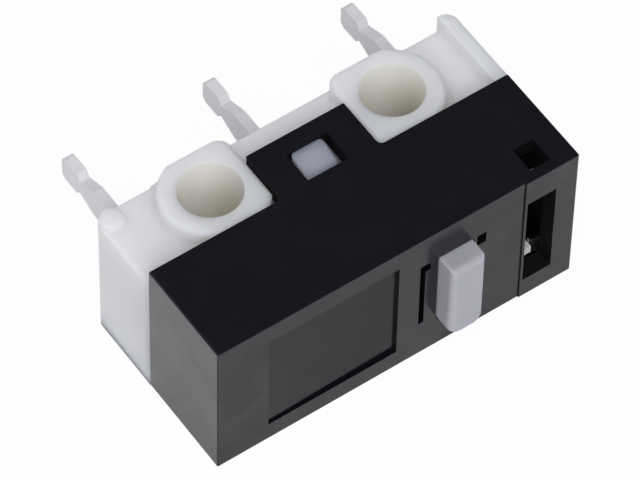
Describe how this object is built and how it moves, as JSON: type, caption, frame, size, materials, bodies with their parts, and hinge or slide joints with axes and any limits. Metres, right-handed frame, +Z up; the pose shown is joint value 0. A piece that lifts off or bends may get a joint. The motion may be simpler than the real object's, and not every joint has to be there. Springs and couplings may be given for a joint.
{
  "type": "micro switch",
  "caption": "Small snap-action switch with a pin plunger, side mounting holes, latched two-tone housing and solder pins.",
  "frame": {"origin": "midway between the axes of the two mounting holes, on the broad face that the switch lies on", "axes": "+X along the length, towards the end with the lever holes; -Y is the way the plunger points and +Y the way the solder pins point; +Z up through the thickness, along the mounting holes"},
  "size_m": [0.0128, 0.0106, 0.0058],
  "materials": {
    "cover": "black moulded, satin gloss",
    "base": "white moulded, satin",
    "plunger": "bluish white moulded, smooth",
    "terminal": "silver-plated stamped sheet",
    "spring": "bright copper alloy sheet",
    "contact": "bright silver alloy"
  },
  "bodies": {
    "housing": {"cover": "cover", "base": "base", "common_terminal": "terminal", "normally_open_terminal": "terminal", "normally_closed_terminal": "terminal", "normally_open_contact": "contact", "normally_closed_contact": "contact"},
    "button": {"plunger": "plunger"},
    "contact_arm": {"snap_spring": "spring", "moving_contact": "contact"}
  },
  "joints": [
    {"name": "plunger_slide", "type": "slide", "parent": "housing", "child": "button", "axis": [0, 1, 0], "range_m": [0, 0.0007], "stiffness_N_per_m": 600},
    {"name": "contact_swing", "type": "hinge", "parent": "housing", "child": "contact_arm", "pos_m": [0.00526, -0.00434, 0.0029], "axis": [0, 0, -1], "range_deg": [0, 2.1], "deforming": ["snap_spring"]}
  ],
  "couplings": [
    {"joint": "contact_swing", "follows": "plunger_slide", "rad_per_m": 52.3}
  ]
}
